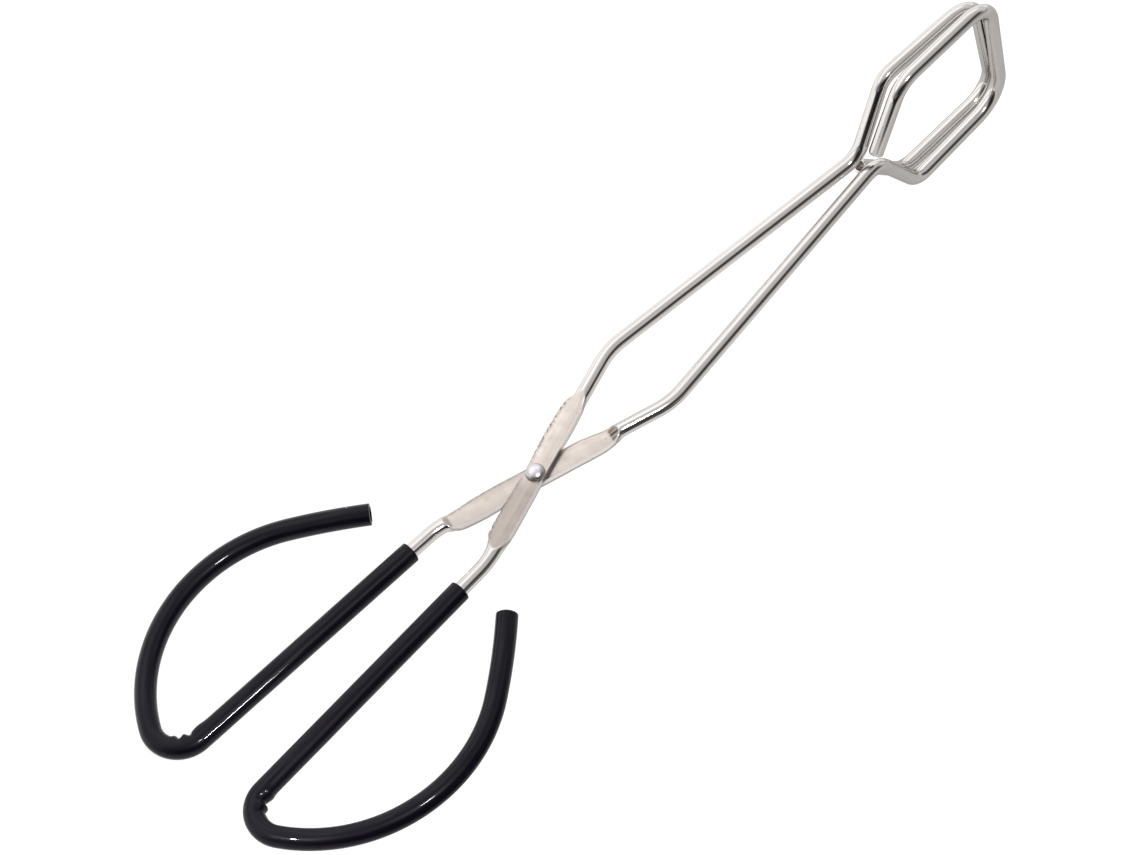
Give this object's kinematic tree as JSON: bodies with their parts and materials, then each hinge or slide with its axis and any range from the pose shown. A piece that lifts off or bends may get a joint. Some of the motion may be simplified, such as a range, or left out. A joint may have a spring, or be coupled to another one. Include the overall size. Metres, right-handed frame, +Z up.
{
  "type": "barbecue tongs",
  "caption": "Scissor-action barbecue tongs: bent tube arms crossed at a rivet, D handles with black sleeves, and wide wire-like jaw loops.",
  "frame": {"origin": "on the table, under the middle of the closed tongs' bounding box", "axes": "+X runs from the handles to the jaws, +Y to the side of the lower arm's handle, +Z up from the table"},
  "size_m": [0.4026, 0.1344, 0.0726],
  "materials": {
    "plated_tube": "bright plated",
    "black_sleeve": "semi-gloss",
    "rivet_metal": "satin"
  },
  "bodies": {
    "lower_half": {"lower_arm": "plated_tube", "lower_grip_sleeve": "black_sleeve", "pivot_rivet": "rivet_metal"},
    "upper_half": {"upper_arm": "plated_tube", "upper_grip_sleeve": "black_sleeve"}
  },
  "joints": [
    {"name": "arm_pivot", "type": "hinge", "parent": "lower_half", "child": "upper_half", "pos_m": [-0.03657, 0, 0.0191], "axis": [-0.0871, 0, 0.9962], "range_deg": [0, 45]}
  ]
}
